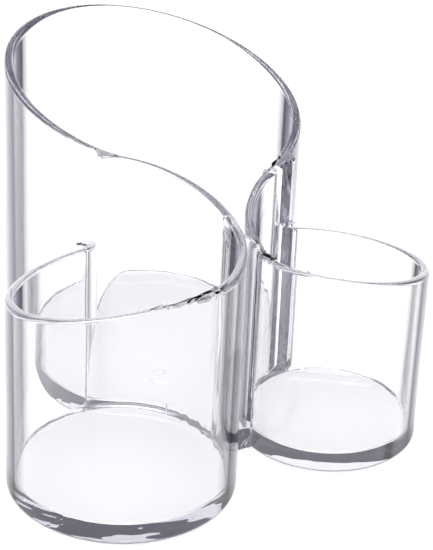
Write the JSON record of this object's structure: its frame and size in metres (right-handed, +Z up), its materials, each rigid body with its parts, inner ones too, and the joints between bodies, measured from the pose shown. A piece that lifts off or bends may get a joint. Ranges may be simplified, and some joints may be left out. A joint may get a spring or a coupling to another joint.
{
  "type": "pen holder cup",
  "caption": "Clear plastic pen holder: a tall round cup with a slanted rim, and two lower round cups grown into its front and side.",
  "frame": {"origin": "on the table, at the middle of the footprint's bounding box", "axes": "+Z up; -Y towards the lower front cup; +X towards the lower side cup"},
  "size_m": [0.1252, 0.1492, 0.101],
  "materials": {
    "clear_plastic": "polished clear"
  },
  "bodies": {
    "root": {"tall_cup_wall": "clear_plastic", "front_cup_wall": "clear_plastic", "side_cup_wall": "clear_plastic", "joining_web": "clear_plastic", "tall_cup_floor": "clear_plastic", "front_cup_floor": "clear_plastic", "side_cup_floor": "clear_plastic"}
  },
  "joints": []
}
